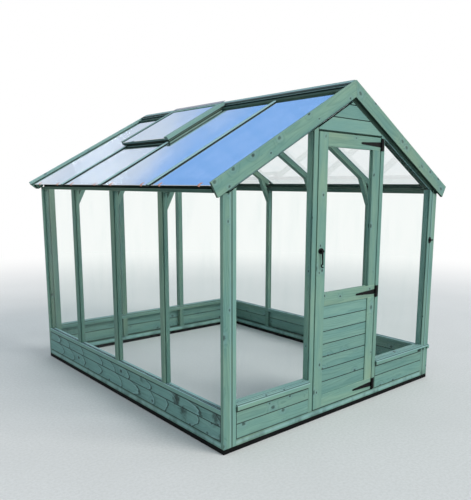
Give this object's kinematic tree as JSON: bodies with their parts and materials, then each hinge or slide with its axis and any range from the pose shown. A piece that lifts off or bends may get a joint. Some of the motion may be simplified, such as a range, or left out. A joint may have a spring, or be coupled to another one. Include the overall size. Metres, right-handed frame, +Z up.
{
  "type": "greenhouse",
  "caption": "Timber apex greenhouse with a boarded base, sills, glazed walls and roof, a hinged door with tee hinges and latch, knee braces and a roof vent.",
  "frame": {"origin": "centre of the outline on the ground, under the middle of the ridge", "axes": "+X to the right along the door gable, +Y along the ridge away from the door, +Z up"},
  "size_m": [2.2746, 2.584, 2.1915],
  "materials": {
    "stained_timber": "sage green wood stain",
    "stained_boards": "sage green wood stain over sawn boards",
    "black_timber": "black preservative",
    "glass": "clear",
    "black_iron": "black powder coat",
    "zinc_steel": "zinc plated",
    "flashing": "satin grey-blue"
  },
  "bodies": {
    "house": {"back_bargeboards": "stained_timber", "back_gable_glass": "glass", "back_gable_posts": "stained_timber", "back_gable_stiles": "stained_timber", "back_sill": "stained_timber", "back_wall_boards": "stained_boards", "base_bearers": "black_timber", "bottom_rails": "stained_timber", "button_plate": "black_iron", "corner_strips": "stained_timber", "door_head_rail": "stained_timber", "door_hinge_plates": "black_iron", "door_jambs": "stained_timber", "eaves_rails": "stained_timber", "front_bargeboards": "stained_timber", "front_gable_glass": "glass", "front_gable_stiles": "stained_timber", "front_sills": "stained_timber", "front_wall_boards": "stained_boards", "gable_head_boards": "stained_boards", "gable_raking_rails": "stained_timber", "glazing_bar_cappings": "stained_timber", "hinge_plate_screws": "black_iron", "knee_braces": "stained_timber", "latch_keeper": "black_iron", "left_roof_glass": "glass", "left_sill": "stained_timber", "left_wall_boards": "stained_boards", "left_wall_glass": "glass", "left_wall_posts": "stained_timber", "post_cover_strips": "stained_timber", "rafters": "stained_timber", "ridge_capping_boards": "stained_timber", "ridge_rails": "stained_timber", "right_roof_glass": "glass", "right_sill": "stained_timber", "right_wall_boards": "stained_boards", "right_wall_glass": "glass", "right_wall_posts": "stained_timber", "vent_curb": "stained_timber", "vent_fixed_hinge_leaves": "zinc_steel", "verge_rails": "stained_timber", "wall_top_rails": "stained_timber"},
    "door": {"door_boards": "stained_boards", "door_bottom_rail": "stained_timber", "door_glass": "glass", "door_hinge_stiles": "stained_timber", "door_hinge_straps": "black_iron", "door_lock_stile": "stained_timber", "door_middle_rail": "stained_timber", "door_top_rail": "stained_timber", "latch_plate": "black_iron", "hinge_strap_screws": "black_iron"},
    "latch": {"latch_lever": "black_iron", "latch_bar": "black_iron"},
    "vent": {"vent_lid_frame": "stained_timber", "vent_glass": "glass", "vent_weather_strip": "flashing", "vent_lid_hinge_leaves": "zinc_steel"},
    "turn_button": {"turn_button": "black_iron"}
  },
  "joints": [
    {"name": "door_hinge", "type": "hinge", "parent": "house", "child": "door", "pos_m": [0.3095, -1.2765, 0.9], "axis": [0, 0, 1], "range_deg": [0, 160]},
    {"name": "latch_turn", "type": "hinge", "parent": "door", "child": "latch", "pos_m": [-0.268, -1.26, 1.122], "axis": [0, -1, 0], "range_deg": [0, 90]},
    {"name": "vent_hinge", "type": "hinge", "parent": "house", "child": "vent", "pos_m": [-0.06374, 0.3175, 2.1585], "axis": [0, 1, 0], "range_deg": [0, 45]},
    {"name": "button_turn", "type": "hinge", "parent": "house", "child": "turn_button", "pos_m": [0.9815, -1.2765, 1.1265], "axis": [0, -1, 0], "range_deg": [-90, 90]}
  ]
}
